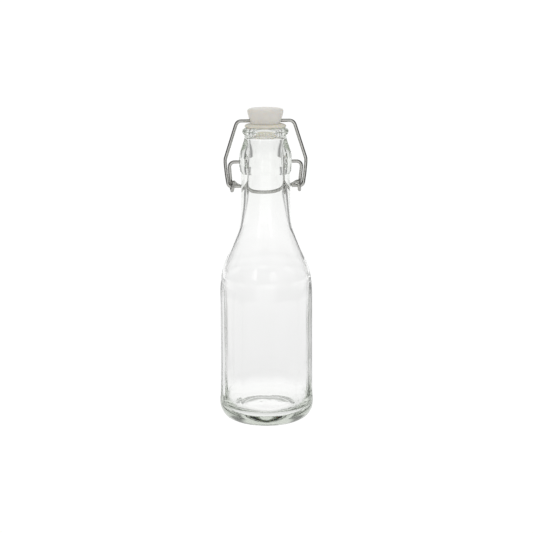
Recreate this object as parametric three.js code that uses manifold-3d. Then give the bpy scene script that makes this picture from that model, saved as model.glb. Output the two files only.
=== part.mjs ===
// Swing top bottle: a ten-sided clear glass bottle of about 250 ml, closed by
// a stopper that a wire bail and a wire lever pull down on to the mouth.
// Millimetres. +Z is up, +Y is the back, where the lever's bow lies, and the
// origin is the middle of the base. The closure is shown closed.
import * as THREE from "three";
import { mergeVertices } from "three/addons/utils/BufferGeometryUtils.js";
import Module from "manifold-3d";

const wasm = await Module();
wasm.setup();

// ---------------------------------------------------------------- dimensions
const FACETS = 10; // flats round the body; one corner points to -Y
const AROUND = 40; // steps round the bottle, a multiple of 2 * FACETS
const MOUTH_Z = 190.0; // top of the glass
const WIRE_D = 2.2; // wire of the bail and of the lever
const WIRE_SIDES = 8;

const PIVOT_Z = 168.4; // axis of the lever in the glass
const DIMPLE_R = 3.7; // radius of the recess at the skin of the glass
const DIMPLE_X = 13.85; // bottom of the recess, from the bottle's axis
const LEVER_TIP_X = 14.25; // end of the lever's wire in the recess
const LEVER_X = 23.35; // arms of the lever at the top
const LEVER_EYE_X = 21.95; // arms of the lever where the eye begins
const LEVER_BEND = 3.2;

const EYE_Y = -0.5; // just past the line from the pivot to the stopper
const EYE_Z = 152.8;
const EYE_R = 2.8; // centre line of the eye's turn
const BOW_DROP = 0.435; // fall of the bow for each millimetre to the back
const BOW_R = 17.75; // centre line of the bow behind the neck

const HOLE_Z = 194.4; // hole through the stopper, for the bail
const HOLE_D = 2.8;
const BAIL_PIN_X = 16.6; // inner end of the bail's pin, just clear of the neck

const HEAD_SIDES = 32;

// Outside of the glass, radius and height, from the middle of the underside
// out, up the body and over the mouth.
const OUTSIDE = [
  [0, 4.3],
  [9, 3.7],
  [16, 2.3],
  [20.2, 0.75],
  [22.2, 0],
  [24.4, 0],
  [26.1, 0.75],
  [27.7, 2.0],
  [29.1, 3.9],
  [30.1, 6.1],
  [30.6, 8.4],
  [30.7, 10.4],
  [30.7, 13.2],
  [30.66, 17.0],
  [30.6, 32.0],
  [30.53, 50.0],
  [30.5, 68.0],
  [30.48, 78.0],
  [30.36, 83.0],
  [29.95, 88.0],
  [29.27, 93.3],
  [28.36, 97.5],
  [27.12, 101.8],
  [25.36, 106.0],
  [23.5, 110.3],
  [21.72, 114.5],
  [19.94, 118.8],
  [18.32, 123.0],
  [17.08, 127.2],
  [16.3, 132.5],
  [15.87, 138.0],
  [15.7, 144.5],
  [15.66, 152.0],
  [15.64, 161.5],
  [16.2, 162.4],
  [16.5, 163.9],
  [16.88, 166.2],
  [16.95, 169.0],
  [16.68, 172.3],
  [15.92, 175.7],
  [14.8, 179.0],
  [13.82, 182.2],
  [13.34, 184.6],
  [13.4, 185.5],
  [14.25, 186.1],
  [14.75, 187.3],
  [14.55, 188.7],
  [13.7, 189.6],
  [12.6, MOUTH_Z],
];
// Inside of the glass, from the mouth down to the floor.
const INSIDE = [
  [9.1, MOUTH_Z],
  [8.45, 189.4],
  [8.3, 188.3],
  [8.35, 185.7],
  [8.9, 184.9],
  [10.0, 184.1],
  [10.6, 183.0],
  [10.8, 181.0],
  [10.85, 177.5],
  [10.9, 163.0],
  [11.1, 156.0],
  [11.9, 147.0],
  [13.0, 138.5],
  [14.1, 132.0],
  [15.2, 127.0],
  [18.1, 119.5],
  [21.6, 111.3],
  [25.0, 103.3],
  [27.0, 97.2],
  [28.2, 90.5],
  [28.6, 83.0],
  [28.65, 50.0],
  [28.6, 17.5],
  [27.8, 12.8],
  [25.8, 9.3],
  [22.6, 7.1],
  [18.4, 6.15],
  [12.0, 6.9],
  [0, 7.9],
];
// Distance of the flats from the axis, by height. Where it passes the radius
// of the round body, the flats run out.
const FLATS = [
  [12.4, 30.7],
  [14.4, 30.34],
  [17.0, 30.22],
  [32.0, 30.03],
  [50.0, 29.88],
  [68.0, 29.84],
  [78.0, 29.98],
  [83.0, 30.05],
  [88.0, 29.82],
  [93.3, 29.27],
];

// Stopper head: radius and height.
const HEAD = [
  [0, 202.7],
  [6.0, 202.6],
  [9.0, 202.3],
  [10.5, 201.85],
  [11.2, 201.2],
  [11.45, 200.4],
  [11.35, 199.4],
  [10.7, 196.9],
  [10.0, 194.7],
  [9.55, 193.4],
  [9.3, 192.95],
  [8.95, 192.8],
  [4.0, 192.8],
  [4.0, 186.3],
  [3.5, 185.9],
  [0, 185.9],
];
// Gasket: a ring round the head's stem, with a short plug below it.
const GASKET = [
  [4.3, 192.5],
  [10.0, 192.5],
  [12.0, 192.15],
  [13.0, 191.65],
  [13.25, 191.05],
  [12.95, 190.5],
  [12.2, 190.3],
  [6.7, 190.3],
  [6.4, 189.9],
  [6.2, 187.6],
  [5.5, 186.0],
  [5.1, 185.7],
  [4.3, 185.7],
];

// ------------------------------------------------------------------- helpers
const deg = THREE.MathUtils.degToRad;

function interpolate(table, z) {
  if (z <= table[0][0]) return z < table[0][0] ? Infinity : table[0][1];
  for (let i = 1; i < table.length; i++) {
    const [z0, v0] = table[i - 1];
    const [z1, v1] = table[i];
    if (z <= z1) return v0 + ((v1 - v0) * (z - z0)) / (z1 - z0);
  }
  return Infinity;
}

// A lathe about +Z. A closed profile repeats its first point.
function lathe(profile, segments) {
  const points = profile.map(([r, z]) => new THREE.Vector2(r, z));
  return new THREE.LatheGeometry(points, segments).rotateX(Math.PI / 2);
}

function toSolid(geometry) {
  const bare = geometry.index ? geometry.toNonIndexed() : geometry.clone();
  bare.deleteAttribute("normal");
  bare.deleteAttribute("uv");
  const merged = mergeVertices(bare, 1e-4);
  const make = (triVerts) =>
    new wasm.Manifold(
      new wasm.Mesh({
        numProp: 3,
        vertProperties: merged.attributes.position.array,
        triVerts,
      }),
    );
  const triVerts = new Uint32Array(merged.index.array);
  const solid = make(triVerts);
  if (solid.volume() > 0) return solid;
  for (let i = 0; i < triVerts.length; i += 3)
    [triVerts[i + 1], triVerts[i + 2]] = [triVerts[i + 2], triVerts[i + 1]];
  return make(triVerts);
}

function toGeometry(solid) {
  const m = solid.getMesh();
  const positions = new Float32Array(m.numVert * 3);
  for (let i = 0; i < m.numVert; i++)
    positions.set(
      m.vertProperties.subarray(i * m.numProp, i * m.numProp + 3),
      i * 3,
    );
  const geometry = new THREE.BufferGeometry();
  geometry.setAttribute("position", new THREE.BufferAttribute(positions, 3));
  geometry.setIndex(new THREE.BufferAttribute(new Uint32Array(m.triVerts), 1));
  const flat = geometry.toNonIndexed();
  flat.computeVertexNormals();
  return flat;
}

// A curve through given rows, so that a wire has its steps where it bends.
class WirePath extends THREE.Curve {
  constructor(rows) {
    super();
    this.rows = rows;
  }
  getPoint(t, target = new THREE.Vector3()) {
    const s = t * (this.rows.length - 1);
    const i = Math.min(Math.floor(s), this.rows.length - 2);
    return target.lerpVectors(this.rows[i], this.rows[i + 1], s - i);
  }
  getPointAt(u, target) {
    return this.getPoint(u, target);
  }
  getSpacedPoints(divisions) {
    return this.getPoints(divisions);
  }
  getTangentAt(u, target = new THREE.Vector3()) {
    const last = this.rows.length - 1;
    const i = Math.round(u * last);
    const a = this.rows[Math.max(0, i - 1)];
    const b = this.rows[i];
    const c = this.rows[Math.min(last, i + 1)];
    const before = b.clone().sub(a);
    const after = c.clone().sub(b);
    if (before.lengthSq() > 0) before.normalize();
    if (after.lengthSq() > 0) after.normalize();
    return target.copy(before.add(after)).normalize();
  }
  getTangent(t, target) {
    return this.getTangentAt(t, target);
  }
}

function wire(rows) {
  const section = new THREE.Shape();
  // A section of equal area to the round wire, so its mass is the wire's.
  const r =
    (WIRE_D / 2) *
    Math.sqrt(
      Math.PI /
        ((WIRE_SIDES / 2) * Math.sin((2 * Math.PI) / WIRE_SIDES)),
    );
  for (let i = 0; i < WIRE_SIDES; i++) {
    const a = (2 * Math.PI * (i + 0.5)) / WIRE_SIDES;
    if (i === 0) section.moveTo(r * Math.cos(a), r * Math.sin(a));
    else section.lineTo(r * Math.cos(a), r * Math.sin(a));
  }
  section.closePath();
  return new THREE.ExtrudeGeometry(section, {
    steps: rows.length - 1,
    bevelEnabled: false,
    extrudePath: new WirePath(rows),
  });
}

// Rows along straight lines between corners, with each corner rounded.
function rounded(corners, stepDegrees = 18) {
  const rows = [corners[0].p.clone()];
  for (let i = 1; i < corners.length - 1; i++) {
    const { p, r } = corners[i];
    const a = corners[i - 1].p.clone().sub(p).normalize();
    const b = corners[i + 1].p.clone().sub(p).normalize();
    const turn = Math.PI - a.angleTo(b);
    const back = r * Math.tan(turn / 2);
    const start = p.clone().addScaledVector(a, back);
    const middle = p
      .clone()
      .addScaledVector(a.clone().add(b).normalize(), r / Math.cos(turn / 2));
    const n = Math.max(1, Math.ceil(THREE.MathUtils.radToDeg(turn) / stepDegrees));
    const axis = a.clone().cross(b).normalize();
    const arm = start.clone().sub(middle);
    for (let k = 0; k <= n; k++)
      rows.push(
        middle
          .clone()
          .add(arm.clone().applyAxisAngle(axis, (-turn * k) / n)),
      );
  }
  rows.push(corners[corners.length - 1].p.clone());
  return rows;
}

// The half at +X, ending in the middle plane, and its mirror image.
function bothSides(half) {
  const other = half
    .slice(0, -1)
    .reverse()
    .map((p) => new THREE.Vector3(-p.x, p.y, p.z));
  return half.concat(other);
}

// -------------------------------------------------------------------- bottle
// The glass is one piece. It is divided only by level planes, from its
// underside to the mouth, so that each length of it stays a simple shape.
const GLASS_LENGTHS = [
  ["bottle_body", 88],
  ["bottle_shoulder", 127],
  ["bottle_neck", 161.5],
  ["bottle_bulb", 184.5],
  ["bottle_ring", Infinity],
];

function bottleSolid() {
  const profile = OUTSIDE.concat(INSIDE);
  const geometry = lathe(profile, AROUND);
  const position = geometry.getAttribute("position");
  const pitch = (2 * Math.PI) / FACETS;
  for (let i = 0; i < position.count; i++) {
    const j = i % profile.length;
    if (j >= OUTSIDE.length) continue;
    const x = position.getX(i);
    const y = position.getY(i);
    const z = position.getZ(i);
    const r = Math.hypot(x, y);
    if (r < 1e-6) continue;
    const angle = Math.atan2(y, x);
    const off = angle - Math.round(angle / pitch) * pitch;
    const flat = interpolate(FLATS, z) / Math.cos(off);
    if (flat < r) position.setXY(i, (x * flat) / r, (y * flat) / r);
  }
  // The recesses that hold the lever's ends, one on each side.
  let solid = toSolid(geometry);
  for (const side of [1, -1]) {
    const recess = lathe(
      [
        [0, DIMPLE_X],
        [1.6, DIMPLE_X + 0.1],
        [2.3, DIMPLE_X + 0.7],
        [DIMPLE_R, 17.0],
        [DIMPLE_R + 1.2, 19.0],
        [0, 19.0],
      ],
      20,
    );
    recess.rotateY((side * Math.PI) / 2);
    recess.translate(0, 0, PIVOT_Z);
    solid = solid.subtract(toSolid(recess));
  }
  return solid;
}

function bottleLengths() {
  const lengths = [];
  let rest = bottleSolid();
  for (const [name, top] of GLASS_LENGTHS) {
    let length = rest;
    if (Number.isFinite(top)) [rest, length] = rest.splitByPlane([0, 0, 1], top);
    lengths.push([name, toGeometry(length)]);
  }
  return lengths;
}

// --------------------------------------------------------------------- lever
// From its end in the glass, out and down to the eye, once round the bail's
// pin, and back behind the neck.
function leverRows() {
  // The arm meets the eye's turn along its tangent.
  const toPivot = new THREE.Vector2(-EYE_Y, PIVOT_Z - EYE_Z);
  const first =
    Math.atan2(toPivot.y, toPivot.x) - Math.acos(EYE_R / toPivot.length());
  const last = -deg(270) - Math.atan(BOW_DROP);
  const arm = new THREE.Vector3(
    LEVER_EYE_X,
    EYE_Y + EYE_R * Math.cos(first),
    EYE_Z + EYE_R * Math.sin(first),
  );
  const half = rounded(
    [
      { p: new THREE.Vector3(LEVER_TIP_X, 0, PIVOT_Z) },
      { p: new THREE.Vector3(LEVER_X, 0, PIVOT_Z), r: LEVER_BEND },
      { p: arm },
    ],
    20,
  );
  // The turn moves inwards, so that the wire can pass its own arm.
  const inward = [
    [0, LEVER_EYE_X],
    [90, 21.65],
    [180, 21.25],
    [230, 20.95],
    [270, 20.5],
    [310, 20.0],
  ];
  const turns = 16;
  for (let k = 1; k <= turns; k++) {
    const a = first + ((last - first) * k) / turns;
    half.push(
      new THREE.Vector3(
        interpolate(inward, THREE.MathUtils.radToDeg(first - a)),
        EYE_Y + EYE_R * Math.cos(a),
        EYE_Z + EYE_R * Math.sin(a),
      ),
    );
  }
  const out = half[half.length - 1];
  const pass = new THREE.Vector3(19.45, 2.2, out.z - (2.2 - out.y) * BOW_DROP);
  half.push(pass);
  const from = Math.atan2(pass.y, pass.x);
  const gap = Math.hypot(pass.x, pass.y) - BOW_R;
  const steps = 9;
  for (let k = 1; k <= steps; k++) {
    const a = from + ((Math.PI / 2 - from) * k) / steps;
    const rest = (Math.PI / 2 - a) / (Math.PI / 2 - from);
    const r = BOW_R + gap * Math.pow(rest, 2.2);
    const y = r * Math.sin(a);
    half.push(
      new THREE.Vector3(
        k === steps ? 0 : r * Math.cos(a),
        y,
        pass.z - (y - pass.y) * BOW_DROP,
      ),
    );
  }
  return bothSides(half);
}

// ---------------------------------------------------------------------- bail
// From the end of its pin, out through the lever's eye, up past the neck
// finish, and across through the stopper.
function bailRows() {
  const lean = (z) => (EYE_Y * (HOLE_Z - z)) / (HOLE_Z - EYE_Z);
  const at = (x, z) => new THREE.Vector3(x, lean(z), z);
  const half = rounded([
    { p: at(BAIL_PIN_X, EYE_Z) },
    { p: at(23.85, EYE_Z), r: 2.1 },
    { p: at(25.1, 161.0), r: 20 },
    { p: at(25.95, 169.6), r: 8 },
    { p: at(17.95, HOLE_Z), r: 3.7 },
    { p: at(0, HOLE_Z) },
  ]);
  return bothSides(half);
}

// ------------------------------------------------------------------- stopper
function headGeometry() {
  const bore = new THREE.CylinderGeometry(HOLE_D / 2, HOLE_D / 2, 30, 12)
    .rotateZ(Math.PI / 2)
    .translate(0, 0, HOLE_Z);
  return toGeometry(toSolid(lathe(HEAD, HEAD_SIDES)).subtract(toSolid(bore)));
}

function gasketGeometry() {
  return toGeometry(toSolid(lathe(GASKET.concat([GASKET[0]]), HEAD_SIDES)));
}

// --------------------------------------------------------------------- build
function piece(name, geometry, material) {
  const mesh = new THREE.Mesh(geometry, material);
  mesh.name = name;
  return mesh;
}

const glass = new THREE.MeshStandardMaterial({
  color: 0xdfe4e0,
  roughness: 0.05,
  metalness: 0,
  transparent: true,
  opacity: 0.35,
});
const steel = new THREE.MeshStandardMaterial({
  color: 0xa9a7a0,
  roughness: 0.3,
  metalness: 1,
});
const plastic = new THREE.MeshStandardMaterial({
  color: 0xe6e2d8,
  roughness: 0.42,
  metalness: 0,
});
const rubber = new THREE.MeshStandardMaterial({
  color: 0xd9cfae,
  roughness: 0.6,
  metalness: 0,
});

const bottle = new THREE.Group();
for (const [name, geometry] of bottleLengths())
  bottle.add(piece(name, geometry, glass));

const lever = new THREE.Group();
lever.add(piece("lever_wire", toGeometry(toSolid(wire(leverRows()))), steel));

const bail = new THREE.Group();
bail.add(piece("bail_wire", toGeometry(toSolid(wire(bailRows()))), steel));

const stopper = new THREE.Group();
stopper.add(piece("stopper_head", headGeometry(), plastic));
stopper.add(piece("gasket", gasketGeometry(), rubber));

const group = new THREE.Group();
group.add(bottle, lever, bail, stopper);

export default group;
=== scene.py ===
"""Looks of the swing top bottle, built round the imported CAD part. Metres, +Z up."""

import math

import bmesh
import bpy
import numpy as np
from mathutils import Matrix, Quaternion, Vector


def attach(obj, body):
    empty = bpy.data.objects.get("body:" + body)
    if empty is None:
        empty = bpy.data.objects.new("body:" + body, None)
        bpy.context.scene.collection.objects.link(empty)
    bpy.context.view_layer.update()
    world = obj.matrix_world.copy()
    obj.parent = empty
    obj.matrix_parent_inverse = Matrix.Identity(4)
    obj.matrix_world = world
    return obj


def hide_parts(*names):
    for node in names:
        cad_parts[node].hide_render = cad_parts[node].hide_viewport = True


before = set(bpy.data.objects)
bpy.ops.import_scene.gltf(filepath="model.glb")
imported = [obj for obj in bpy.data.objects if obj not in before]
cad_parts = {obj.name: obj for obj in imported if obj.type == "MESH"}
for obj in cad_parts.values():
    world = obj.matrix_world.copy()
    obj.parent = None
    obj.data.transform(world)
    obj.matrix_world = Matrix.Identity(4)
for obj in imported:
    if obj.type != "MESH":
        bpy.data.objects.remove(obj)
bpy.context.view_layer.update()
scene = bpy.context.scene
MM = 0.001

# ------------------------------------------------------------------ dimensions
# In millimetres, as in the CAD source.
FACETS = 10
PIVOT_Z = 168.4
LEVER_TIP_X = 14.25
LEVER_X = 23.35
LEVER_EYE_X = 21.95
LEVER_BEND = 3.2
EYE_Y = -0.5
EYE_Z = 152.8
EYE_R = 2.8
BOW_DROP = 0.435
BOW_R = 17.75
HOLE_Z = 194.4
HOLE_R = 1.4
BAIL_PIN_X = 16.6
WIRE_R = 1.1

OUTSIDE = [
    (0, 4.3), (9, 3.7), (16, 2.3), (20.2, 0.75), (22.2, 0.06), (24.4, 0.06),
    (26.1, 0.75), (27.7, 2.0), (29.1, 3.9), (30.1, 6.1), (30.58, 8.4),
    (30.66, 10.4), (30.64, 13.2), (30.62, 17.0), (30.58, 32.0), (30.51, 50.0),
    (30.48, 68.0), (30.46, 78.0), (30.34, 83.0), (29.95, 88.0), (29.27, 93.3),
    (28.36, 97.5), (27.12, 101.8), (25.36, 106.0), (23.5, 110.3),
    (21.72, 114.5), (19.94, 118.8), (18.32, 123.0), (17.08, 127.2),
    (16.3, 132.5), (15.87, 138.0), (15.7, 144.5), (15.66, 152.0),
    (15.64, 160.2), (15.66, 161.5), (16.16, 162.2), (16.5, 163.6),
    (16.88, 166.2), (16.95, 169.0), (16.68, 172.3), (15.92, 175.7),
    (14.8, 179.0), (13.82, 182.2), (13.34, 184.6), (13.42, 185.5),
    (14.2, 186.05), (14.72, 187.3), (14.55, 188.6), (13.7, 189.6),
    (12.6, 189.97),
]
INSIDE = [
    (9.6, 189.97), (8.75, 189.5), (8.35, 188.3), (8.35, 185.7), (8.9, 184.9),
    (10.0, 184.1), (10.6, 183.0), (10.8, 181.0), (10.85, 177.5),
    (10.9, 163.0), (11.1, 156.0), (11.9, 147.0), (13.0, 138.5),
    (14.1, 132.0), (15.2, 127.0), (18.1, 119.5), (21.6, 111.3),
    (25.2, 103.3), (27.25, 97.2), (28.5, 90.5), (28.95, 83.0), (29.0, 50.0),
    (28.95, 18.5), (28.1, 13.0), (26.0, 9.3), (22.6, 7.1), (18.4, 6.15),
    (12.0, 6.9), (0, 7.9),
]
# Distance of the middle of each flat from the axis, by height.
FLATS = [
    (0, 99.0), (12.0, 30.66), (13.2, 30.52), (14.4, 30.34), (17.0, 30.2),
    (32.0, 30.03), (50.0, 29.88), (68.0, 29.84), (78.0, 29.95), (83.0, 29.98),
    (88.0, 29.76), (93.3, 29.2),
]
# How far the corners stand out from the flats above the body.
CORNER_RISE = [(93.3, 0.0), (93.31, 0.42), (98.0, 0.34), (103.0, 0.2), (108.5, 0.06), (112.0, 0.0)]

HEAD = [
    (0, 202.28), (1.15, 202.29), (1.5, 202.55), (6.0, 202.53), (9.2, 202.25),
    (10.6, 201.86), (11.25, 201.2), (11.42, 200.4), (11.31, 199.4),
    (10.65, 196.9), (9.95, 194.7), (9.5, 193.2), (9.28, 192.7),
    (8.9, 192.5), (6.0, 192.46), (4.0, 192.4), (3.9, 186.4), (3.5, 185.95),
    (0, 185.95),
]
GASKET = [
    (4.3, 192.3), (8.9, 192.52), (10.1, 192.5), (12.0, 192.15),
    (12.95, 191.65), (13.2, 191.05), (12.95, 190.55), (12.2, 190.32),
    (8.9, 190.3), (7.2, 190.18), (6.5, 189.5), (6.25, 187.6), (5.6, 186.1),
    (5.1, 185.75), (4.3, 185.75),
]


# --------------------------------------------------------------------- helpers
def table(rows, z):
    rows = np.array(rows, float)
    return np.interp(z, rows[:, 0], rows[:, 1])


def smin(a, b, k):
    h = np.clip(0.5 + 0.5 * (b - a) / k, 0.0, 1.0)
    return b * (1 - h) + a * h - k * h * (1 - h)


def catmull(points, step=0.05):
    """A centripetal Catmull-Rom curve through points, finely sampled."""
    p = np.array(points, float)
    p = np.vstack([2 * p[0] - p[1], p, 2 * p[-1] - p[-2]])
    out = []
    for i in range(1, len(p) - 2):
        p0, p1, p2, p3 = p[i - 1], p[i], p[i + 1], p[i + 2]
        t0 = 0.0
        t1 = t0 + max(np.linalg.norm(p1 - p0), 1e-6) ** 0.5
        t2 = t1 + max(np.linalg.norm(p2 - p1), 1e-6) ** 0.5
        t3 = t2 + max(np.linalg.norm(p3 - p2), 1e-6) ** 0.5
        n = max(2, int(math.ceil(np.linalg.norm(p2 - p1) / step)))
        t = np.linspace(t1, t2, n, endpoint=False)[:, None]
        a1 = (t1 - t) / (t1 - t0) * p0 + (t - t0) / (t1 - t0) * p1
        a2 = (t2 - t) / (t2 - t1) * p1 + (t - t1) / (t2 - t1) * p2
        a3 = (t3 - t) / (t3 - t2) * p2 + (t - t2) / (t3 - t2) * p3
        b1 = (t2 - t) / (t2 - t0) * a1 + (t - t0) / (t2 - t0) * a2
        b2 = (t3 - t) / (t3 - t1) * a2 + (t - t1) / (t3 - t1) * a3
        out.append((t2 - t) / (t2 - t1) * b1 + (t - t1) / (t2 - t1) * b2)
    out.append(p[-2][None, :])
    return np.vstack(out)


def thin_rows(curve, step_of, smallest=0.25, largest=3.0, bend=0.16):
    """Picks rows from a finely sampled curve, closer together where it bends."""
    d = np.diff(curve, axis=0)
    s = np.concatenate([[0], np.cumsum(np.hypot(d[:, 0], d[:, 1]))])
    heading = np.unwrap(np.arctan2(d[:, 1], d[:, 0]))
    turn = np.abs(np.gradient(heading, s[:-1] + 1e-9 * np.arange(len(s) - 1)))
    width = 9
    turn = np.convolve(np.pad(turn, width, mode="edge"), np.ones(2 * width + 1) / (2 * width + 1), "valid")
    turn = np.append(turn, turn[-1])
    step = np.clip(bend / np.maximum(turn, 1e-6), smallest, largest)
    step = np.minimum(step, step_of(curve))
    reach = 40
    soft = np.array([step[max(0, i - reach):i + reach + 1].min() for i in range(len(step))])
    density = np.concatenate([[0], np.cumsum(np.diff(s) / (0.5 * (soft[1:] + soft[:-1])))])
    n = int(math.ceil(density[-1]))
    at = np.interp(np.linspace(0, density[-1], n + 1), density, s)
    return np.stack([np.interp(at, s, curve[:, 0]), np.interp(at, s, curve[:, 1])], 1)


def make_object(name, verts, faces, smooth=True, sharp=None):
    mesh = bpy.data.meshes.new(name)
    mesh.from_pydata([tuple(v) for v in verts], [], [tuple(int(i) for i in f) for f in faces])
    mesh.validate()
    bm = bmesh.new()
    bm.from_mesh(mesh)
    bmesh.ops.recalc_face_normals(bm, faces=bm.faces)
    bm.to_mesh(mesh)
    bm.free()
    if smooth:
        mesh.shade_smooth()
        if sharp is not None:
            mesh.set_sharp_from_angle(angle=math.radians(sharp))
    mesh.update()
    o = bpy.data.objects.new(name, mesh)
    scene.collection.objects.link(o)
    return o


def grid_faces(rows, cols, first=0):
    i = np.arange(rows - 1)[:, None] * cols + first
    j = np.arange(cols)[None, :]
    k = (j + 1) % cols
    return np.stack([i + j, i + k, i + cols + k, i + cols + j], -1).reshape(-1, 4)


def lathe(name, profile, cols=128, closed=False, step=0.6, smallest=0.2, largest=1.2, bend=0.2, sharp=None, shape=None):
    """A turned piece with a rounded profile, in millimetres. Ends at the axis close in a point."""
    curve = catmull(profile + [profile[0]] if closed else profile)
    rows = thin_rows(curve, lambda c: np.full(len(c), step), smallest, largest, bend)
    if closed:
        rows = rows[:-1]
    phi = np.arange(cols) * 2 * math.pi / cols
    low = 0 if closed else 1
    body = rows[low:len(rows) - low]
    r, z = body[:, 0:1], body[:, 1:2]
    x, y, zz = r * np.cos(phi), r * np.sin(phi), z + 0 * phi
    if shape is not None:
        x, y, zz = shape(x, y, zz, r, phi)
    verts = np.stack([x, y, zz], -1).reshape(-1, 3)
    faces = [tuple(f) for f in grid_faces(len(body), cols)]
    if closed:
        last = (len(body) - 1) * cols
        faces += [(last + j, last + (j + 1) % cols, (j + 1) % cols, j) for j in range(cols)]
    else:
        top, end = len(verts), len(verts) + 1
        verts = np.vstack([verts, [[0, 0, rows[0, 1]], [0, 0, rows[-1, 1]]]])
        last = (len(body) - 1) * cols
        faces += [(top, (j + 1) % cols, j) for j in range(cols)]
        faces += [(end, last + j, last + (j + 1) % cols) for j in range(cols)]
    return make_object(name, verts * MM, faces, sharp=sharp)


# ------------------------------------------------------------------------ wires
def rounded(corners, step_degrees=4.0):
    """Points along straight lines between corners, with each corner rounded."""
    rows = [np.array(corners[0][0], float)]
    for i in range(1, len(corners) - 1):
        p, r = np.array(corners[i][0], float), corners[i][1]
        if not r:
            rows.append(p)
            continue
        a = np.array(corners[i - 1][0], float) - p
        b = np.array(corners[i + 1][0], float) - p
        a, b = a / np.linalg.norm(a), b / np.linalg.norm(b)
        turn = math.pi - math.acos(max(-1, min(1, float(a @ b))))
        start = p + a * (r * math.tan(turn / 2))
        middle = p + (a + b) / np.linalg.norm(a + b) * (r / math.cos(turn / 2))
        n = max(1, math.ceil(math.degrees(turn) / step_degrees))
        axis = np.cross(a, b)
        axis /= np.linalg.norm(axis)
        arm = start - middle
        for k in range(n + 1):
            t = -turn * k / n
            rows.append(middle + arm * math.cos(t) + np.cross(axis, arm) * math.sin(t) + axis * (axis @ arm) * (1 - math.cos(t)))
    rows.append(np.array(corners[-1][0], float))
    return rows


def both_sides(half):
    return np.array(half + [np.array([-p[0], p[1], p[2]]) for p in half[-2::-1]])


def lever_path():
    to_y, to_z = -EYE_Y, PIVOT_Z - EYE_Z
    first = math.atan2(to_z, to_y) - math.acos(EYE_R / math.hypot(to_y, to_z))
    last = -math.radians(270) - math.atan(BOW_DROP)
    arm = (LEVER_EYE_X, EYE_Y + EYE_R * math.cos(first), EYE_Z + EYE_R * math.sin(first))
    half = rounded([((LEVER_TIP_X, 0, PIVOT_Z), 0), ((LEVER_X, 0, PIVOT_Z), LEVER_BEND), (arm, 0)])
    inward = [(0, LEVER_EYE_X), (90, 21.65), (180, 21.25), (230, 20.95), (270, 20.5), (310, 20.0)]
    turns = 72
    for k in range(1, turns + 1):
        a = first + (last - first) * k / turns
        half.append(np.array([
            float(table(inward, math.degrees(first - a))),
            EYE_Y + EYE_R * math.cos(a),
            EYE_Z + EYE_R * math.sin(a),
        ]))
    out = half[-1]
    passing = np.array([19.45, 2.2, out[2] - (2.2 - out[1]) * BOW_DROP])
    half.append(passing)
    start = math.atan2(passing[1], passing[0])
    gap = math.hypot(passing[0], passing[1]) - BOW_R
    steps = 60
    for k in range(1, steps + 1):
        a = start + (math.pi / 2 - start) * k / steps
        rest = (math.pi / 2 - a) / (math.pi / 2 - start)
        r = BOW_R + gap * rest ** 2.2
        y = r * math.sin(a)
        half.append(np.array([0 if k == steps else r * math.cos(a), y, passing[2] - (y - passing[1]) * BOW_DROP]))
    return both_sides(half)


def bail_path():
    def at(x, z):
        return (x, EYE_Y * (HOLE_Z - z) / (HOLE_Z - EYE_Z), z)

    half = rounded([
        (at(BAIL_PIN_X, EYE_Z), 0),
        (at(23.85, EYE_Z), 2.1),
        (at(25.1, 161.0), 20),
        (at(25.95, 169.6), 8),
        (at(17.95, HOLE_Z), 3.7),
        (at(0, HOLE_Z), 0),
    ])
    return both_sides(half)


def soften(path, step=0.12, sigma=0.45):
    """Even steps along the path, with its small kinks drawn out."""
    d = np.linalg.norm(np.diff(path, axis=0), axis=1)
    keep = np.concatenate([[True], d > 1e-6])
    path = path[keep]
    s = np.concatenate([[0], np.cumsum(np.linalg.norm(np.diff(path, axis=0), axis=1))])
    n = int(round(s[-1] / step))
    at = np.linspace(0, s[-1], n + 1)
    fine = np.stack([np.interp(at, s, path[:, i]) for i in range(3)], 1)
    w = int(3 * sigma / step)
    kernel = np.exp(-0.5 * (np.arange(-w, w + 1) * step / sigma) ** 2)
    kernel /= kernel.sum()
    padded = np.vstack([2 * fine[0] - fine[w:0:-1], fine, 2 * fine[-1] - fine[-2:-w - 2:-1]])
    return np.stack([np.convolve(padded[:, i], kernel, "valid") for i in range(3)], 1)


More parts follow.
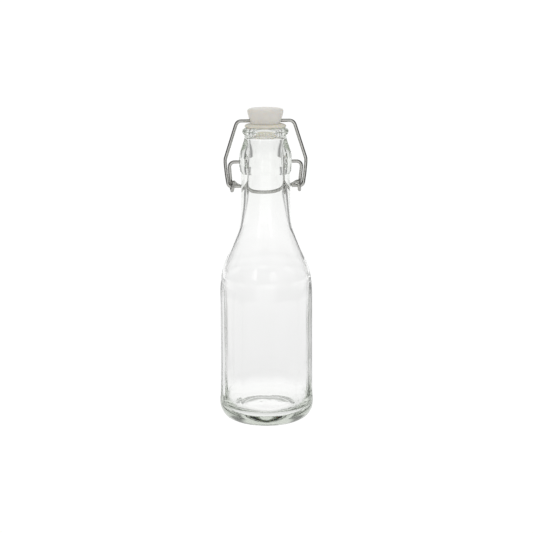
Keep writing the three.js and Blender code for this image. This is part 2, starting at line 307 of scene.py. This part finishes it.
def wire(name, path, radius=WIRE_R, sides=24, bend_step=0.3, straight_step=1.6, end_flat=0.62, seed=1):
    """A round wire with cut ends along path, in millimetres, with drawing marks' coordinates in an attribute."""
    fine = soften(path)
    tangent = np.gradient(fine, axis=0)
    tangent /= np.linalg.norm(tangent, axis=1)[:, None]
    s = np.concatenate([[0], np.cumsum(np.linalg.norm(np.diff(fine, axis=0), axis=1))])
    bend = np.linalg.norm(np.gradient(tangent, axis=0), axis=1) / np.gradient(s)
    step = np.clip(0.09 / np.maximum(bend, 1e-6), bend_step, straight_step)
    soft = np.array([step[max(0, i - 8):i + 9].min() for i in range(len(step))])
    density = np.concatenate([[0], np.cumsum(np.diff(s) / soft[1:])])
    n = int(math.ceil(density[-1]))
    at = np.interp(np.linspace(0, density[-1], n + 1), density, s)
    centre = np.stack([np.interp(at, s, fine[:, i]) for i in range(3)], 1)
    t = np.stack([np.interp(at, s, tangent[:, i]) for i in range(3)], 1)
    t /= np.linalg.norm(t, axis=1)[:, None]
    # frames carried along the wire without twist
    u = np.zeros_like(t)
    start = np.cross(t[0], [0.3, 0.2, 1.0])
    u[0] = start / np.linalg.norm(start)
    for i in range(1, len(t)):
        v = u[i - 1] - t[i] * (u[i - 1] @ t[i])
        u[i] = v / np.linalg.norm(v)
    w = np.cross(t, u)
    # the cut ends: a small burr-free chamfer, then the flat face
    rows_c, rows_r, rows_s = [], [], []
    chamfer = [(0.0, end_flat), (0.05, 0.8), (0.14, 0.92), (0.28, 0.985)]
    for back, scale in chamfer:
        rows_c.append((0, back))
        rows_r.append(scale)
    for i in range(len(centre)):
        if at[i] > 0.42 and at[i] < s[-1] - 0.42:
            rows_c.append((i, None))
            rows_r.append(1.0)
    for back, scale in reversed(chamfer):
        rows_c.append((-1, back))
        rows_r.append(scale)
    phi = np.arange(sides) * 2 * math.pi / sides
    verts, coords = [], []
    for (i, back), scale in zip(rows_c, rows_r):
        if back is None:
            c, uu, ww, along = centre[i], u[i], w[i], at[i]
        elif i == 0:
            c, uu, ww, along = centre[0] + t[0] * back, u[0], w[0], back
        else:
            c, uu, ww, along = centre[-1] - t[-1] * back, u[-1], w[-1], s[-1] - back
        # drawn wire is never perfectly round or straight
        wob = 1.0 - 0.006 + 0.006 * np.sin(2 * phi + 0.13 * along + seed)
        ring = c + radius * scale * wob[:, None] * (np.cos(phi)[:, None] * uu + np.sin(phi)[:, None] * ww)
        verts.append(ring)
        coords.append(np.stack([np.cos(phi), np.sin(phi), np.full(sides, along)], 1))
    rows = len(verts)
    verts, coords = np.vstack(verts), np.vstack(coords)
    faces = [tuple(f) for f in grid_faces(rows, sides)]
    a, b = len(verts), len(verts) + 1
    verts = np.vstack([verts, centre[0] + t[0] * 0.0, centre[-1]])
    coords = np.vstack([coords, [[0, 0, 0]], [[0, 0, s[-1]]]])
    last = (rows - 1) * sides
    faces += [(a, (j + 1) % sides, j) for j in range(sides)]
    faces += [(b, last + j, last + (j + 1) % sides) for j in range(sides)]
    o = make_object(name, verts * MM, faces, sharp=48)
    layer = o.data.attributes.new("wire_place", "FLOAT_VECTOR", "POINT")
    layer.data.foreach_set("vector", coords.astype(np.float32).ravel())
    return o


# ----------------------------------------------------------------------- bottle
def bottle_columns():
    """Angles round the bottle, closer together at the corners, the seam and the recesses."""
    fine = np.linspace(0, 360, 36001)
    near = lambda centres: np.min(np.abs((fine[:, None] - np.array(centres)[None, :] + 180) % 360 - 180), axis=1)
    step = np.full(len(fine), 1.5)
    step = np.where(near([0, 180]) < 15, 0.66, step)
    step = np.where(near([18 + 36 * k for k in range(10)]) < 1.6, 0.62, step)
    step = np.where(near([90, 270]) < 0.8, 0.3, step)
    density = np.concatenate([[0], np.cumsum(np.diff(fine) / step[1:])])
    n = int(round(density[-1]))
    return np.radians(np.interp(np.arange(n) * density[-1] / n, density, fine))


def ripple(z, phi, rng, count, low, high, lobes):
    """A sum of a few smooth waves over height and angle."""
    out = 0
    for _ in range(count):
        wavelength = rng.uniform(low, high)
        m = rng.integers(0, lobes + 1)
        out = out + np.sin(2 * math.pi * z / wavelength + rng.uniform(0, 2 * math.pi)) * np.cos(m * phi + rng.uniform(0, 2 * math.pi))
    return out / math.sqrt(count)


def bottle():
    rng = np.random.default_rng(7)
    curve = catmull(OUTSIDE + INSIDE)
    split = len(catmull(OUTSIDE + INSIDE[:1])) - 1

    def step_of(c):
        z = c[:, 1]
        step = np.full(len(c), 3.2)
        outer = np.arange(len(c)) < split
        step[outer & (z > 163.4) & (z < 173.4)] = 0.36
        step[outer & (z > 11.6) & (z < 17.5) & (c[:, 0] > 29)] = 0.6
        step[outer & (z > 76) & (z < 130)] = 1.4
        step[~outer & (z > 76) & (z < 185)] = 2.2
        return step

    rows = thin_rows(curve, step_of, smallest=0.3, largest=3.2, bend=0.15)
    s_split = curve[split]
    outer_count = int(np.argmin(np.hypot(rows[:, 0] - s_split[0], rows[:, 1] - s_split[1]))) + 1
    phi = bottle_columns()
    body = rows[1:-1]
    outer = (np.arange(1, len(rows) - 1) < outer_count)[:, None]
    r0, z0 = body[:, 0:1], body[:, 1:2] + 0 * phi[None, :]
    r = r0 + 0 * phi[None, :]
    pitch = 2 * math.pi / FACETS
    off = np.abs(phi - np.round(phi / pitch) * pitch) / (pitch / 2)
    # each flat is slightly crowned and meets the next at a corner with a small radius
    crown = np.where(off < 0.93, off ** 2, 0.8649 + 1.86 * (off - 0.93) - 13.2857 * (off - 0.93) ** 2)
    crown = crown / (0.8649 + 1.86 * 0.07 - 13.2857 * 0.07 ** 2)
    flat = table(FLATS, z0)
    wall = outer & (z0 > 11.9) & (z0 < 93.3) & (r0 > 20)
    r = np.where(wall, np.minimum(flat + (r0 - flat) * crown[None, :], r0), r)
    rise = outer & (z0 >= 93.3) & (z0 < 112.0)
    r = np.where(rise, r0 + table(CORNER_RISE, z0) * crown[None, :] - 0.02, r)
    # seam of the two mould halves, front and back
    degrees = np.degrees(phi)
    seam = np.exp(-((np.minimum(np.abs(degrees - 90), np.abs(degrees - 270)) / 0.42) ** 2))[None, :]
    height = np.interp(z0, [8, 14, 90, 120, 159, 161, 185, 186.2, 188.6, 189.5], [0, 0.03, 0.05, 0.045, 0.045, 0, 0, 0.05, 0.05, 0])
    r = np.where(outer, r + seam * height * (r0 > 12), r)
    # uneven glass: a little on the skin, more inside where it was blown
    fade_in = np.interp(z0, [9, 20, 100, 150, 176, 183], [0, 1, 1, 0.55, 0.4, 0])
    skin = ripple(z0, phi[None, :], rng, 6, 26, 70, 3)
    blown = ripple(z0, phi[None, :], rng, 9, 18, 75, 5)
    r = np.where(outer, r - 0.012 * (1 + skin) * fade_in * (r0 > 12), r + 0.075 * blown * fade_in * np.minimum(1, r0 / 20))
    x, y = r * np.cos(phi), r * np.sin(phi)
    z = z0.copy()
    # the floor of a blown bottle is never even
    floor = (~outer) & (z0 < 12) & (r0 < 26)
    z = np.where(floor, z + 0.16 * ripple(x * 1.0, phi[None, :], rng, 4, 14, 40, 4) * np.clip(1 - r0 / 27, 0, 1), z)
    # recesses for the ends of the lever
    d = np.hypot(y, z - PIVOT_Z)
    recess = np.interp(d, [0, 1.2, 1.75, 2.1, 2.45, 3.7, 4.9, 60], [13.88, 13.9, 14.05, 14.35, 14.85, 17.0, 19.0, 140])
    deep = smin(np.abs(x), recess, 0.55)
    x = np.where(outer & (np.abs(z - PIVOT_Z) < 7), np.sign(x) * deep, x)
    z = np.maximum(z, 0.05)
    verts = np.stack([x, y, z], -1).reshape(-1, 3)
    faces = [tuple(f) for f in grid_faces(len(body), len(phi))]
    n = len(phi)
    low, high = len(verts), len(verts) + 1
    verts = np.vstack([verts, [[0, 0, rows[0, 1]], [0, 0, rows[-1, 1]]]])
    last = (len(body) - 1) * n
    faces += [(low, (j + 1) % n, j) for j in range(n)]
    faces += [(high, last + j, last + (j + 1) % n) for j in range(n)]
    print("bottle rows", len(rows), "columns", n, "faces", len(faces))
    return make_object("bottle_glass", verts * MM, faces)


# -------------------------------------------------------------------- materials
def material(name):
    m = bpy.data.materials.new(name)
    m.use_nodes = True
    nodes = m.node_tree.nodes
    bsdf = next(n for n in nodes if n.type == "BSDF_PRINCIPLED")
    out = next(n for n in nodes if n.type == "OUTPUT_MATERIAL")
    return m, m.node_tree, bsdf, out


def node(tree, kind, **values):
    n = tree.nodes.new(kind)
    for k, v in values.items():
        if k in n.inputs.keys():
            n.inputs[k].default_value = v
        else:
            setattr(n, k, v)
    return n


def noise(tree, vector, scale, detail=3.0, roughness=0.55, distortion=0.0):
    n = node(tree, "ShaderNodeTexNoise")
    n.inputs["Scale"].default_value = scale
    n.inputs["Detail"].default_value = detail
    n.inputs["Roughness"].default_value = roughness
    n.inputs["Distortion"].default_value = distortion
    tree.links.new(vector, n.inputs["Vector"])
    return n


def spread(tree, value, low, high, from_low=0.3, from_high=0.7):
    n = node(tree, "ShaderNodeMapRange")
    n.inputs["From Min"].default_value = from_low
    n.inputs["From Max"].default_value = from_high
    n.inputs["To Min"].default_value = low
    n.inputs["To Max"].default_value = high
    tree.links.new(value, n.inputs["Value"])
    return n.outputs["Result"]


def ramp(tree, value, stops):
    n = node(tree, "ShaderNodeValToRGB")
    e = n.color_ramp.elements
    while len(e) < len(stops):
        e.new(0.5)
    for item, (at, colour) in zip(e, stops):
        item.position = at
        item.color = (*colour, 1)
    tree.links.new(value, n.inputs["Fac"])
    return n.outputs["Color"]


def bump(tree, height, distance, strength=1.0, normal=None):
    n = node(tree, "ShaderNodeBump")
    n.inputs["Strength"].default_value = strength
    n.inputs["Distance"].default_value = distance
    tree.links.new(height, n.inputs["Height"])
    if normal is not None:
        tree.links.new(normal, n.inputs["Normal"])
    return n.outputs["Normal"]


def object_place(tree):
    return node(tree, "ShaderNodeTexCoord").outputs["Object"]


def stretched(tree, vector, scale):
    n = node(tree, "ShaderNodeMapping")
    n.inputs["Scale"].default_value = scale
    tree.links.new(vector, n.inputs["Vector"])
    return n.outputs["Vector"]


def glass_material():
    m, t, b, out = material("clear_glass")
    b.inputs["Base Color"].default_value = (1, 1, 1, 1)
    b.inputs["Transmission Weight"].default_value = 1.0
    b.inputs["IOR"].default_value = 1.5
    place = object_place(t)
    # the orange-peel of moulded glass, and fine handling haze
    peel = noise(t, stretched(t, place, (1, 1, 0.45)), 120, 2.0, 0.5)
    fine = noise(t, place, 620, 2.0, 0.5)
    n1 = bump(t, peel.outputs["Fac"], 0.00006, 0.8)
    n2 = bump(t, fine.outputs["Fac"], 0.0000035, 0.6, n1)
    t.links.new(n2, b.inputs["Normal"])
    haze = noise(t, stretched(t, place, (1, 1, 0.3)), 90, 4.0, 0.6)
    t.links.new(spread(t, haze.outputs["Fac"], 0.0, 0.035), b.inputs["Roughness"])
    v = node(t, "ShaderNodeVolumeAbsorption")
    v.inputs["Color"].default_value = (0.795, 0.818, 0.778, 1)
    v.inputs["Density"].default_value = GLASS_DENSITY
    t.links.new(v.outputs["Volume"], out.inputs["Volume"])
    return m


def steel_material():
    m, t, b, out = material("drawn_steel")
    place = node(t, "ShaderNodeAttribute", attribute_name="wire_place").outputs["Vector"]
    b.inputs["Metallic"].default_value = 1.0
    b.inputs["Anisotropic"].default_value = 0.0
    # drawing lines run along the wire
    lines = noise(t, stretched(t, place, (5.5, 5.5, 0.05)), 1.6, 3.0, 0.6)
    mottle = noise(t, stretched(t, place, (1.2, 1.2, 0.55)), 1.1, 3.0, 0.55)
    colour = node(t, "ShaderNodeMix", data_type="RGBA", blend_type="MULTIPLY")
    colour.inputs[0].default_value = 1.0
    t.links.new(ramp(t, mottle.outputs["Fac"], [(0.3, (0.455, 0.452, 0.43)), (0.7, (0.545, 0.541, 0.518))]), colour.inputs[6])
    t.links.new(ramp(t, lines.outputs["Fac"], [(0.34, (0.9, 0.9, 0.9)), (0.62, (1, 1, 1))]), colour.inputs[7])
    t.links.new(colour.outputs[2], b.inputs["Base Color"])
    t.links.new(spread(t, mottle.outputs["Fac"], 0.1, 0.19), b.inputs["Roughness"])
    n1 = bump(t, lines.outputs["Fac"], 0.00002, 0.4)
    t.links.new(n1, b.inputs["Normal"])
    return m


def plastic_material():
    m, t, b, out = material("white_plastic")
    place = object_place(t)
    cloud = noise(t, place, 130, 3.0, 0.5)
    grain = noise(t, place, 2600, 2.0, 0.5)
    t.links.new(ramp(t, cloud.outputs["Fac"], [(0.3, (0.815, 0.79, 0.735)), (0.7, (0.86, 0.838, 0.79))]), b.inputs["Base Color"])
    t.links.new(spread(t, cloud.outputs["Fac"], 0.34, 0.46), b.inputs["Roughness"])
    b.inputs["IOR"].default_value = 1.49
    b.inputs["Subsurface Weight"].default_value = 0.35
    b.inputs["Subsurface Radius"].default_value = (1.0, 0.86, 0.66)
    b.inputs["Subsurface Scale"].default_value = 0.0022
    # turning lines left by the mould, and a fine grain
    wave = node(t, "ShaderNodeTexWave", wave_type="BANDS", bands_direction="Z")
    wave.inputs["Scale"].default_value = 480
    wave.inputs["Distortion"].default_value = 0.6
    wave.inputs["Detail"].default_value = 1.0
    t.links.new(place, wave.inputs["Vector"])
    n1 = bump(t, wave.outputs["Fac"], 0.000008, 0.35)
    n2 = bump(t, grain.outputs["Fac"], 0.00001, 0.5, n1)
    t.links.new(n2, b.inputs["Normal"])
    return m


def rubber_material():
    m, t, b, out = material("cream_rubber")
    place = object_place(t)
    cloud = noise(t, place, 170, 3.0, 0.55)
    grain = noise(t, place, 3400, 3.0, 0.6)
    t.links.new(ramp(t, cloud.outputs["Fac"], [(0.3, (0.77, 0.74, 0.645)), (0.7, (0.835, 0.81, 0.725))]), b.inputs["Base Color"])
    t.links.new(spread(t, grain.outputs["Fac"], 0.5, 0.68), b.inputs["Roughness"])
    b.inputs["Subsurface Weight"].default_value = 0.3
    b.inputs["Subsurface Radius"].default_value = (1.0, 0.8, 0.5)
    b.inputs["Subsurface Scale"].default_value = 0.0016
    t.links.new(bump(t, grain.outputs["Fac"], 0.00002, 0.6), b.inputs["Normal"])
    return m


GLASS_DENSITY = 42.0

# ------------------------------------------------------------------------ pieces
glass = bottle()
glass.data.materials.append(glass_material())

steel = steel_material()
lever = wire("lever_drawn_wire", lever_path(), seed=1)
lever.data.materials.append(steel)
bail = wire("bail_drawn_wire", bail_path(), seed=4)
bail.data.materials.append(steel)


def head():
    o = lathe("stopper_moulded_head", HEAD, cols=144, step=0.8, smallest=0.16, largest=1.0, bend=0.22)
    # the hole for the bail, right through from side to side
    sides, rings = 36, []
    for x, r in ((-16.0, HOLE_R), (16.0, HOLE_R)):
        a = np.arange(sides) * 2 * math.pi / sides
        rings.append(np.stack([np.full(sides, x), r * np.cos(a), HOLE_Z + r * np.sin(a)], 1))
    verts = np.vstack(rings) * MM
    faces = [(j, (j + 1) % sides, sides + (j + 1) % sides, sides + j) for j in range(sides)]
    faces += [tuple(range(sides))[::-1], tuple(range(sides, 2 * sides))]
    cutter = make_object("cutter", verts, faces, smooth=False)
    cut = o.modifiers.new("hole", "BOOLEAN")
    cut.object, cut.operation, cut.solver = cutter, "DIFFERENCE", "EXACT"
    bpy.context.view_layer.update()
    mesh = bpy.data.meshes.new_from_object(o.evaluated_get(bpy.context.evaluated_depsgraph_get()))
    o.modifiers.clear()
    old = o.data
    o.data = mesh
    bpy.data.meshes.remove(old)
    bpy.data.objects.remove(cutter)
    mesh.name = o.name
    mesh.shade_smooth()
    mesh.set_sharp_from_angle(angle=math.radians(38))
    return o


GLASS_NODES = ["bottle_body", "bottle_shoulder", "bottle_neck", "bottle_bulb", "bottle_ring"]
stopper = head()
stopper.data.materials.append(plastic_material())
gasket = lathe("gasket_moulded_ring", GASKET, cols=144, closed=True, step=0.7, smallest=0.15, largest=0.8, bend=0.2)
gasket.data.materials.append(rubber_material())

for piece, body, cad, slot in (
    (glass, "bottle", GLASS_NODES, "glass"),
    (lever, "lever", ["lever_wire"], "steel_wire"),
    (bail, "bail", ["bail_wire"], "steel_wire"),
    (stopper, "stopper", ["stopper_head"], "stopper_plastic"),
    (gasket, "stopper", ["gasket"], "gasket_rubber"),
):
    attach(piece, body)
    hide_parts(*cad)

# ------------------------------------------------------------------------ stage
FLOOR_DIRECT = 1.04
FILL = 0.72
FILL_IN_GLASS = 1.5
VIEW_SIDE = math.radians(4.5)


def stage_shader(tree, build):
    """White where it is seen directly, the studio's soft shades in glass and metal, and even fill on matt pieces."""
    path = node(tree, "ShaderNodeLightPath").outputs
    scattered = maths(tree, "MINIMUM", path["Diffuse Depth"], 1.0)
    shades = build(tree, path["Is Transmission Ray"])
    in_glass = maths(tree, "MINIMUM", path["Transmission Depth"], 1.0)
    fill = mixed(tree, in_glass, FILL, FILL_IN_GLASS)
    return mixed(tree, path["Is Camera Ray"], mixed(tree, scattered, shades, fill), FLOOR_DIRECT)


def maths(tree, kind, a, b=None, clamp=False):
    n = node(tree, "ShaderNodeMath", operation=kind, use_clamp=clamp)
    for i, v in enumerate((a, b)):
        if v is None:
            continue
        if isinstance(v, (int, float)):
            n.inputs[i].default_value = v
        else:
            tree.links.new(v, n.inputs[i])
    return n.outputs[0]


def smooth_range(tree, value, a, b, low, high):
    n = node(tree, "ShaderNodeMapRange", interpolation_type="SMOOTHSTEP")
    n.inputs["From Min"].default_value = a
    n.inputs["From Max"].default_value = b
    n.inputs["To Min"].default_value = low
    n.inputs["To Max"].default_value = high
    tree.links.new(value, n.inputs["Value"])
    return n.outputs["Result"]


def mixed(tree, factor, a, b):
    n = node(tree, "ShaderNodeMix", data_type="FLOAT")
    for socket, v in zip((n.inputs[0], n.inputs[2], n.inputs[3]), (factor, a, b)):
        if isinstance(v, (int, float)):
            socket.default_value = v
        else:
            tree.links.new(v, socket)
    return n.outputs[0]


def wedge(tree, x, y, inner, outer, shift=0.0):
    """1 inside a wedge of the ground plan that opens from the bottle, fading to 0 at its sides."""
    a = maths(tree, "ABSOLUTE", maths(tree, "SUBTRACT", maths(tree, "ARCTAN2", x, y), shift))
    n = node(tree, "ShaderNodeMapRange", interpolation_type="SMOOTHSTEP")
    for name, v in (("Value", a), ("From Min", inner), ("From Max", outer), ("To Min", 1.0), ("To Max", 0.0)):
        if isinstance(v, float):
            n.inputs[name].default_value = v
        else:
            tree.links.new(v, n.inputs[name])
    return n.outputs["Result"]


# The white sweep behind the bottle: its brightness near and far, and the angles
# between which it fades out at the sides, near the bottle and far from it.
SWEEP_NEAR, SWEEP_FAR = 0.87, 1.05
CLOSE_IN, CLOSE_OUT = math.radians(14.0), math.radians(21.0)
WIDE_IN, WIDE_OUT = math.radians(70.0), math.radians(108.0)
SWEEP_SHIFT = VIEW_SIDE - math.radians(1.5)
# The rest of the studio, as glass and as metal gather it.
DIM_GLASS, DIM_METAL = 0.24, 0.13
SIDE = 0.88
ALL_ROUND = math.radians(190.0)
SIDE_IN, SIDE_OUT = math.radians(29.0), math.radians(38.0)
FRONT_METAL, FRONT_GLASS, UNDER = 1.22, 0.9, 1.04


def floor_shade(tree, through):
    xyz = node(tree, "ShaderNodeSeparateXYZ")
    tree.links.new(object_place(tree), xyz.inputs[0])
    x, y = xyz.outputs["X"], xyz.outputs["Y"]
    out_from = maths(tree, "POWER", maths(tree, "ADD", maths(tree, "MULTIPLY", x, x), maths(tree, "MULTIPLY", y, y)), 0.5)
    dim = mixed(tree, through, DIM_METAL, DIM_GLASS)
    sweep = smooth_range(tree, y, 0.02, 0.9, SWEEP_NEAR, SWEEP_FAR)
    far = smooth_range(tree, out_from, 0.76, 0.90, 0.0, 1.0)
    # the wedge opens from the sides of the body, so its apex is as wide as the body
    across = maths(tree, "SUBTRACT", x, maths(tree, "MULTIPLY", y, math.tan(SWEEP_SHIFT)))
    beside = maths(tree, "MAXIMUM", maths(tree, "SUBTRACT", maths(tree, "ABSOLUTE", across), 0.027), 0.0)
    wide_in, wide_out = mixed(tree, through, WIDE_IN, ALL_ROUND), mixed(tree, through, WIDE_OUT, ALL_ROUND + 0.1)
    behind = wedge(tree, beside, y, mixed(tree, far, CLOSE_IN, wide_in), mixed(tree, far, CLOSE_OUT, wide_out))
    side = maths(tree, "MULTIPLY", maths(tree, "SUBTRACT", 1.0, wedge(tree, beside, y, SIDE_IN, SIDE_OUT)), mixed(tree, through, smooth_range(tree, out_from, 0.38, 0.55, 1.0, 0.0), maths(tree, "SUBTRACT", 1.0, far)))
    out = mixed(tree, behind, mixed(tree, side, dim, SIDE), sweep)
    # the lit floor in front
    front = wedge(tree, maths(tree, "MULTIPLY", x, -1.0), maths(tree, "MULTIPLY", y, -1.0), math.radians(17.0), math.radians(34.0), VIEW_SIDE)
    reach = smooth_range(tree, y, -0.45, -0.22, 1.0, 0.0)
    out = mixed(tree, maths(tree, "MULTIPLY", front, reach), out, mixed(tree, through, FRONT_METAL, FRONT_GLASS))
    # light gathered under the glass
    out = mixed(tree, smooth_range(tree, out_from, 0.034, 0.085, 1.0, 0.0), out, smooth_range(tree, y, -0.01, 0.03, 0.76, 1.05))
    return mixed(tree, smooth_range(tree, out_from, 0.014, 0.030, 1.0, 0.0), out, UNDER)


floor_mesh = bpy.data.meshes.new("floor")
floor_mesh.from_pydata([(-30, -30, 0), (30, -30, 0), (30, 30, 0), (-30, 30, 0)], [], [(0, 1, 2, 3)])
floor_obj = bpy.data.objects.new("floor", floor_mesh)
floor_obj.location = (0, 0, -0.0004)
scene.collection.objects.link(floor_obj)
fm = bpy.data.materials.new("pale_floor")
fm.use_nodes = True
ft = fm.node_tree
ft.nodes.clear()
fo = node(ft, "ShaderNodeOutputMaterial")
fe = node(ft, "ShaderNodeEmission")
ft.links.new(stage_shader(ft, floor_shade), fe.inputs["Strength"])
ft.links.new(fe.outputs[0], fo.inputs["Surface"])
floor_obj.data.materials.append(fm)


def sky_shade(tree, through):
    xyz = node(tree, "ShaderNodeSeparateXYZ")
    tree.links.new(node(tree, "ShaderNodeTexCoord").outputs["Generated"], xyz.inputs[0])
    x, y, z = (xyz.outputs[k] for k in "XYZ")
    dim = mixed(tree, through, DIM_METAL, DIM_GLASS)
    facing = wedge(tree, maths(tree, "MULTIPLY", x, -1.0), maths(tree, "MULTIPLY", y, -1.0), math.radians(30.0), math.radians(62.0), VIEW_SIDE)
    front = mixed(tree, facing, dim, mixed(tree, through, 0.5, 0.6))
    glow = wedge(tree, maths(tree, "MULTIPLY", x, -1.0), maths(tree, "MULTIPLY", y, -1.0), math.radians(17.0), math.radians(34.0), VIEW_SIDE)
    front = mixed(tree, maths(tree, "MULTIPLY", glow, smooth_range(tree, z, 0.03, 0.1, 1.0, 0.0)), front, mixed(tree, through, FRONT_METAL, FRONT_GLASS))
    round_by = wedge(tree, x, y, math.radians(40.0), math.radians(50.0), SWEEP_SHIFT)
    beyond = maths(tree, "MULTIPLY", maths(tree, "SUBTRACT", 1.0, round_by), through)
    front = mixed(tree, beyond, front, SIDE)
    behind = wedge(tree, x, y, math.radians(20.0), math.radians(30.0), SWEEP_SHIFT)
    low = smooth_range(tree, z, 0.5, 0.75, 1.0, 0.0)
    out = mixed(tree, maths(tree, "MULTIPLY", behind, low), front, SWEEP_FAR)
    return mixed(tree, smooth_range(tree, z, 0.8, 0.97, 0.0, 1.0), out, 0.5)


world = bpy.data.worlds.new("studio")
scene.world = world
world.use_nodes = True
wt = world.node_tree
wt.nodes.clear()
wo = node(wt, "ShaderNodeOutputWorld")
wb = node(wt, "ShaderNodeBackground")
wb.inputs["Color"].default_value = (1, 1, 1, 1)
wt.links.new(stage_shader(wt, sky_shade), wb.inputs["Strength"])
wt.links.new(wb.outputs[0], wo.inputs["Surface"])


def softbox(name, place, aim, width, height, radiance, tint=(1, 1, 1)):
    light = bpy.data.lights.new(name, "AREA")
    light.shape = "RECTANGLE"
    light.size, light.size_y = width, height
    light.energy = radiance * math.pi * width * height
    light.color = tint
    o = bpy.data.objects.new(name, light)
    o.location = place
    o.rotation_mode = "QUATERNION"
    o.rotation_quaternion = (Vector(aim) - Vector(place)).to_track_quat("-Z", "Y")
    o.visible_camera = False
    scene.collection.objects.link(o)
    return o


for side, turn in ((-1, -31.0), (1, 22.0)):
    a = math.radians(turn) - VIEW_SIDE
    softbox(f"strip_{side}", (1.2 * math.sin(a), -1.2 * math.cos(a), 0.565), (0, 0, 0.175), 0.20, 0.34, 1.1)
softbox("top", (0.0, -0.1, 1.25), (0, 0, 0.1), 0.9, 0.9, 0.45)

# ----------------------------------------------------------------------- camera
cam = bpy.data.cameras.new("camera")
cam.sensor_width = 36.0
cam.lens = 85.24
camera = bpy.data.objects.new("camera", cam)
scene.collection.objects.link(camera)
pitch = math.radians(12.0)
target = Vector((0.0003, 0.0, 0.100))
back = Vector((-math.cos(pitch) * math.sin(VIEW_SIDE), -math.cos(pitch) * math.cos(VIEW_SIDE), math.sin(pitch)))
camera.location = target + back * 0.818
camera.rotation_mode = "QUATERNION"
camera.rotation_quaternion = (-back).to_track_quat("-Z", "Y") @ Quaternion((0, 0, 1), math.radians(-0.25))
cam.clip_start, cam.clip_end = 0.01, 100.0
scene.camera = camera

scene.view_settings.view_transform = "Standard"
scene.view_settings.look = "None"
scene.view_settings.exposure = 0.0
scene.view_settings.gamma = 1.0
scene.cycles.max_bounces = 48
scene.cycles.transmission_bounces = 48
scene.cycles.glossy_bounces = 48
scene.cycles.transparent_max_bounces = 16

bpy.context.view_layer.update()
